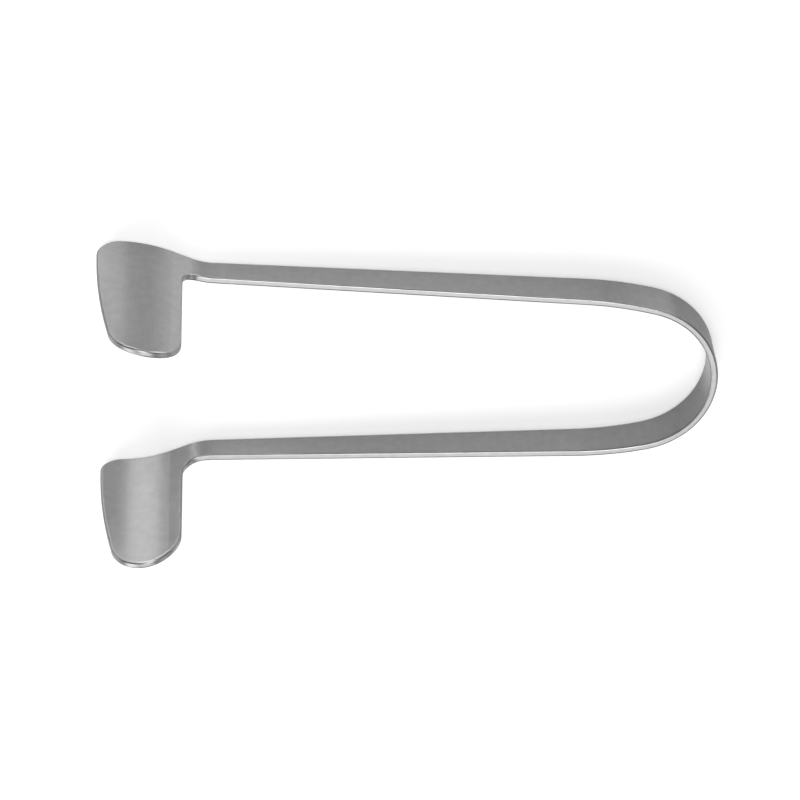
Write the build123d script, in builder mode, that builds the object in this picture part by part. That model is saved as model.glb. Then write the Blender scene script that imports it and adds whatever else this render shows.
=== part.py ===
from build123d import *
import os

# Nasal speculum: one strip of spring steel, bent into a bow with two arms, whose
# ends are set outwards and turned up into scooped blades. It lies on the strip's
# straight edge with the blades upright. X runs from the bow to the blades, Z is up,
# and the two sides mirror each other about the XZ plane.

# Strip
strip_thickness = 1.3
bow_width = 8.0
neck_width = 4.9
edge_rounding = 0.35

# Bow and shoulders, measured on the outer face, with turns in degrees
bow_radius = 15.4
bow_turn = 76.5
shoulder_radius = 65.0

# Angle of each arm to the middle plane at the lying edge and at the height of the
# blade tips: the difference is the twist that brings the tips together
foot_spread = 2.4
tip_spread = 1.9

# Neck that sets the blade outwards, and the hollow of the blade
neck_lead = 5.4
neck_radius = 11.0
neck_turn = 20.8
ramp_length = 3.6
scoop_radius = 25.0
scoop_turn = 36.0

# Blade as seen from the side
blade_start = 95.1
blade_width = 14.9
blade_height = 33.4
tip_radius = 6.2
free_edge_taper = 11.4
free_corner_radius = 4.0
neck_fillet_radius = 3.0

overall_length = blade_start + blade_width
bow_x = -overall_length / 2
blade_x = bow_x + blade_start
free_x = blade_x + blade_width
neck_x = blade_x - neck_lead


def strip_outline(spread):
    """Strip seen from above, with both ends running on past the blades' free edges."""
    with BuildLine() as outline:
        bow = CenterArc((bow_x + bow_radius, 0), bow_radius, 180 - bow_turn, 2 * bow_turn)
        shoulder = JernArc(bow @ 0, bow % 0 * -1, shoulder_radius, bow_turn + spread - 90)
        arm_run = neck_x - (shoulder @ 1).X
        arm = PolarLine(
            shoulder @ 1, arm_run, direction=shoulder % 1, length_mode=LengthMode.HORIZONTAL
        )
        neck = JernArc(arm @ 1, arm % 1, neck_radius, neck_turn)
        ramp = PolarLine(neck @ 1, ramp_length, direction=neck % 1)
        scoop = JernArc(ramp @ 1, ramp % 1, scoop_radius, -scoop_turn)
        run_on = PolarLine(scoop @ 1, blade_width, direction=scoop % 1)
        mirror([shoulder, arm, neck, ramp, scoop, run_on], about=Plane.XZ)
        offset(amount=strip_thickness, side=Side.LEFT)
    return outline.line


with BuildPart() as speculum:
    # The bent strip, as tall as the blades all along
    for height, spread in ((0, foot_spread), (blade_height, tip_spread)):
        with BuildSketch(Plane.XY.offset(height)):
            add(strip_outline(spread))
            make_face()
    loft(ruled=True)

    # Cut to its outline as seen from the side
    with BuildSketch(Plane.XZ) as side_view:
        with BuildLine():
            foot = Line((bow_x, 0), (free_x, 0))
            near_edge = Line((bow_x, bow_width), (blade_x, neck_width))
            neck_side = Line(near_edge @ 1, (blade_x, blade_height - tip_radius))
            tip = JernArc(neck_side @ 1, (0, 1), tip_radius, free_edge_taper - 180)
            TangentArc(tip @ 1, foot @ 1, tangent=tip % 1)
            Line(foot @ 0, near_edge @ 0)
        make_face()
        fillet(side_view.vertices().sort_by_distance((free_x, 0))[0], free_corner_radius)
        neck_corner = side_view.vertices().sort_by_distance((blade_x, neck_width))[0]
        fillet(neck_corner, neck_fillet_radius)
    extrude(amount=overall_length / 2, both=True, mode=Mode.INTERSECT)

    # Every edge of the strip rounded: the cut faces run straight across it, along Y
    cut_faces = speculum.faces().filter_by(lambda face: abs(face.normal_at(0.25, 0.25).Y) < 1e-4)
    fillet(cut_faces.edges().filter_by(Axis.Y, reverse=True), edge_rounding)

speculum.part.label = "speculum"
os.makedirs("parts", exist_ok=True)
export_step(speculum.part, "parts/speculum.step")
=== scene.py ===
import math

import bpy
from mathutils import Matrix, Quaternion, Vector

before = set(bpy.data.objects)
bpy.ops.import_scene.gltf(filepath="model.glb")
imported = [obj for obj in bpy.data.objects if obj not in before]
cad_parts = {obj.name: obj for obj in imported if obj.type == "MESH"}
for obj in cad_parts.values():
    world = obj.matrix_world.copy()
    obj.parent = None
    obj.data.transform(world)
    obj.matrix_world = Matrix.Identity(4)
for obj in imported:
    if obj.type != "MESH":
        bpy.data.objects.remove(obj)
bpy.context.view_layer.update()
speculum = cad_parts["speculum"]

# Lengths are in m and angles in degrees, but the camera's lens is in mm

# Camera, placed by its angles as seen from the point it looks at
camera_target = Vector((0.0010, 0.0094, 0.0))
camera_azimuth = 5.9
camera_elevation = 56.13
camera_roll = 175.36
camera_distance = 0.596
camera_lens = 148.5
camera_clip_start = 0.01

# Floor, just under the speculum, and the world around it
floor_size = 4.0
floor_drop = 0.00005
floor_colour = 0.8
floor_roughness = 0.9
floor_glow = 0.38
world_strength = 0.22

# Steel: satin faces that smear reflections up and down, and edges that are buffed evenly
steel_colour = 0.33
face_roughness = 0.42
edge_roughness = 0.33
face_anisotropy = 1.0
edge_anisotropy = 0.0

# How far the surface looks up or down, from 0 to 1, where an edge begins and where it is full
edge_begin = 0.25
edge_full = 0.6

# Tone of the steel: soft patches, and faint upright streaks
mottle_size = 0.0016
mottle_detail = 4.0
mottle_contrast = 0.12
streak_size = 0.0005
streak_length = 0.005
streak_detail = 2.0
streak_contrast = 0.05

# What the softboxes aim at, and how far from it the large and the small ones stand
middle = Vector((0, 0, 0))
bow = Vector((-0.020, 0, 0))
near_blade = Vector((0.052, -0.021, 0.020))
far_blade = Vector((0.053, 0.017, 0.020))
far = 1.2
near = 0.3

# Each blade has a row of small softboxes, whose reflections join into a soft band
near_blade_azimuths = (-76, -57, -40)
far_blade_azimuths = (12, 20, 28)


def direction(azimuth, elevation):
    """Unit vector from the object: azimuth 0 is towards -Y and 90 towards +X."""
    a, e = math.radians(azimuth), math.radians(elevation)
    return Vector((math.sin(a) * math.cos(e), -math.cos(a) * math.cos(e), math.sin(e)))


def math_node(tree, operation, *values):
    """Math node on sockets and numbers."""
    node = tree.nodes.new("ShaderNodeMath")
    node.operation = operation
    for socket, value in zip(node.inputs, values):
        if isinstance(value, bpy.types.NodeSocket):
            tree.links.new(value, socket)
        else:
            socket.default_value = value
    return node.outputs[0]


def blend(tree, factor, start, end):
    """From start to end as the factor goes from 0 to 1."""
    node = tree.nodes.new("ShaderNodeMapRange")
    node.inputs["To Min"].default_value = start
    node.inputs["To Max"].default_value = end
    tree.links.new(factor, node.inputs["Value"])
    return node.outputs[0]


def noise(tree, place, size, detail):
    """Soft noise around 0.5, whose patches measure the three sizes given."""
    stretch = tree.nodes.new("ShaderNodeMapping")
    stretch.inputs["Scale"].default_value = [1 / length for length in size]
    tree.links.new(place, stretch.inputs["Vector"])
    node = tree.nodes.new("ShaderNodeTexNoise")
    node.inputs["Scale"].default_value = 1.0
    node.inputs["Detail"].default_value = detail
    tree.links.new(stretch.outputs[0], node.inputs["Vector"])
    return node.outputs["Fac"]


def add_camera():
    camera = bpy.data.objects.new("camera", bpy.data.cameras.new("camera"))
    bpy.context.scene.collection.objects.link(camera)
    back = direction(camera_azimuth, camera_elevation)
    upright = (-back).to_track_quat("-Z", "Y")
    turn = Quaternion((0, 0, 1), math.radians(camera_roll))
    camera.rotation_mode = "QUATERNION"
    camera.rotation_quaternion = upright @ turn
    camera.location = camera_target + back * camera_distance
    camera.data.lens = camera_lens
    camera.data.clip_start = camera_clip_start
    bpy.context.scene.camera = camera


def background_rays(tree):
    """1 for the rays that look at the background: the camera's, and those off or through a surface."""
    path = tree.nodes.new("ShaderNodeLightPath")
    seen = path.outputs["Is Camera Ray"]
    for name in ("Is Glossy Ray", "Is Transmission Ray"):
        seen = math_node(tree, "MAXIMUM", seen, path.outputs[name])
    return seen


def add_floor():
    bpy.ops.mesh.primitive_plane_add(size=floor_size, location=(0, 0, -floor_drop))
    floor = bpy.context.object
    floor.name = "floor"
    material = bpy.data.materials.new("floor")
    material.use_nodes = True
    tree = material.node_tree
    shader = tree.nodes["Principled BSDF"]
    shader.inputs["Base Color"].default_value = (floor_colour,) * 3 + (1,)
    shader.inputs["Roughness"].default_value = floor_roughness
    shader.inputs["Specular IOR Level"].default_value = 0.0
    shader.inputs["Emission Color"].default_value = (1, 1, 1, 1)
    glow = math_node(tree, "MULTIPLY", background_rays(tree), floor_glow)
    tree.links.new(glow, shader.inputs["Emission Strength"])
    floor.data.materials.append(material)


def add_world():
    world = bpy.data.worlds.new("studio")
    world.use_nodes = True
    background = world.node_tree.nodes["Background"]
    background.inputs["Color"].default_value = (1, 1, 1, 1)
    background.inputs["Strength"].default_value = world_strength
    bpy.context.scene.world = world


def add_softbox(name, target, distance, azimuth, elevation, width, height, brightness, spread=180):
    """Lamp turned to the target. Brightness is the radiance that the target sees on its face."""
    half_spread = math.radians(spread) / 2
    narrowing = 1 - half_spread / math.tan(half_spread)
    lamp = bpy.data.lights.new(name, "AREA")
    lamp.shape = "RECTANGLE"
    lamp.size, lamp.size_y = width, height
    lamp.energy = brightness * math.pi * width * height * narrowing
    lamp.spread = math.radians(spread)
    softbox = bpy.data.objects.new(name, lamp)
    bpy.context.scene.collection.objects.link(softbox)
    softbox.location = target + direction(azimuth, elevation) * distance
    softbox.rotation_mode = "QUATERNION"
    softbox.rotation_quaternion = direction(azimuth, elevation).to_track_quat("Z", "Y")
    softbox.visible_camera = False


def add_large_softboxes():
    add_softbox("ceiling", middle, far, azimuth=0, elevation=84, width=0.5, height=0.6, brightness=6.0)
    add_softbox("back", middle, far, azimuth=184, elevation=60, width=0.7, height=0.5, brightness=2.5)
    add_softbox("back_right", middle, far, azimuth=138, elevation=32, width=0.8, height=0.6, brightness=3.0)
    add_softbox("back_left", middle, far, azimuth=233, elevation=26, width=0.6, height=0.5, brightness=1.1)
    add_softbox("front_left", middle, far, azimuth=-35, elevation=12, width=0.5, height=0.4, brightness=2.2)


def add_small_softboxes():
    add_softbox(
        "bow_front", bow, near, azimuth=-6, elevation=12,
        width=0.1, height=0.1, brightness=5, spread=16
    )
    add_softbox(
        "near_blade_front", near_blade, near, azimuth=0, elevation=6,
        width=0.05, height=0.05, brightness=25, spread=11
    )
    for azimuth in near_blade_azimuths:
        add_softbox(
            "near_blade_side", near_blade, near, azimuth, elevation=12,
            width=0.04, height=0.1, brightness=26, spread=13
        )
    for azimuth in far_blade_azimuths:
        add_softbox(
            "far_blade_front", far_blade, near, azimuth, elevation=14,
            width=0.04, height=0.1, brightness=46, spread=11
        )


def edge_share(tree, normal):
    """0 on the upright faces of the strip and 1 on its edges, which look up or down."""
    axes = tree.nodes.new("ShaderNodeSeparateXYZ")
    tree.links.new(normal, axes.inputs[0])
    up_or_down = math_node(tree, "ABSOLUTE", axes.outputs["Z"])
    node = tree.nodes.new("ShaderNodeMapRange")
    node.interpolation_type = "SMOOTHSTEP"
    node.inputs["From Min"].default_value = edge_begin
    node.inputs["From Max"].default_value = edge_full
    tree.links.new(up_or_down, node.inputs["Value"])
    return node.outputs[0]


def steel_tone(tree, place):
    """Grey of the steel, with its patches and streaks."""
    mottle = noise(tree, place, (mottle_size,) * 3, mottle_detail)
    streaks = noise(tree, place, (streak_size, streak_size, streak_length), streak_detail)
    patches = blend(tree, mottle, 1 - mottle_contrast, 1 + mottle_contrast)
    lines = blend(tree, streaks, -streak_contrast, streak_contrast)
    return math_node(tree, "MULTIPLY", math_node(tree, "ADD", patches, lines), steel_colour)


def steel_material():
    material = bpy.data.materials.new("satin_steel")
    material.use_nodes = True
    tree = material.node_tree
    shader = tree.nodes["Principled BSDF"]
    shader.inputs["Metallic"].default_value = 1.0
    place = tree.nodes.new("ShaderNodeTexCoord")
    edge = edge_share(tree, place.outputs["Normal"])
    roughness = blend(tree, edge, face_roughness, edge_roughness)
    anisotropy = blend(tree, edge, face_anisotropy, edge_anisotropy)
    upright = tree.nodes.new("ShaderNodeCombineXYZ")
    upright.inputs["Z"].default_value = 1.0
    tree.links.new(steel_tone(tree, place.outputs["Object"]), shader.inputs["Base Color"])
    tree.links.new(roughness, shader.inputs["Roughness"])
    tree.links.new(anisotropy, shader.inputs["Anisotropic"])
    tree.links.new(upright.outputs[0], shader.inputs["Tangent"])
    return material


def dress(node):
    node.data.materials.clear()
    node.data.materials.append(steel_material())


add_camera()
add_floor()
add_world()
add_large_softboxes()
add_small_softboxes()
dress(speculum)

bpy.context.scene.view_settings.view_transform = "Standard"
